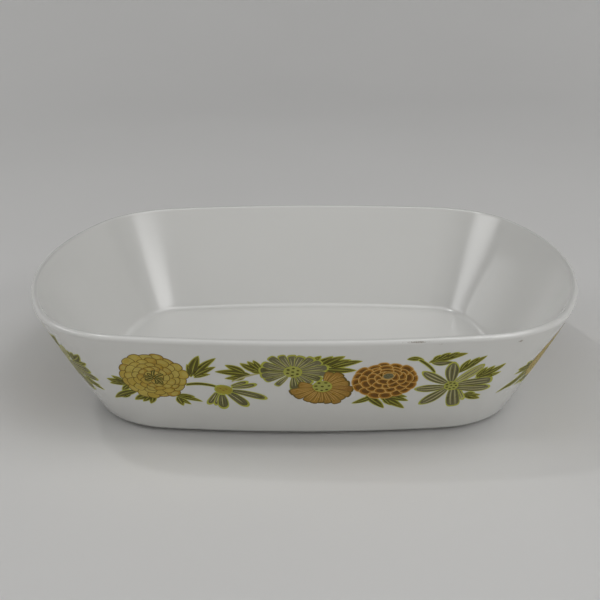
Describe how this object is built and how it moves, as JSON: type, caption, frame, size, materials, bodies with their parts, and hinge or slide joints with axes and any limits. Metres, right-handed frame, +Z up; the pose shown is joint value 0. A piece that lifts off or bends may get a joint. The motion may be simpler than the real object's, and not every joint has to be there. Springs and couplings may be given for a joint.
{
  "type": "open casserole dish",
  "caption": "Open oblong casserole dish in white glazed porcelain, with flaring walls, a rounded rim, a low foot ring and fired-on flower garlands.",
  "frame": {"origin": "middle of the foot ring's underside, on the surface that the dish stands on", "axes": "+X along the dish's length, +Y across it, away from the front wall, +Z up through the open mouth"},
  "size_m": [0.32, 0.245, 0.072],
  "materials": {
    "white_glaze": "gloss",
    "transfer_enamel": "satin"
  },
  "bodies": {
    "root": {"dish_body": "white_glaze", "floral_transfer_front": "transfer_enamel", "floral_transfer_right": "transfer_enamel", "floral_transfer_back": "transfer_enamel", "floral_transfer_left": "transfer_enamel"}
  },
  "joints": []
}
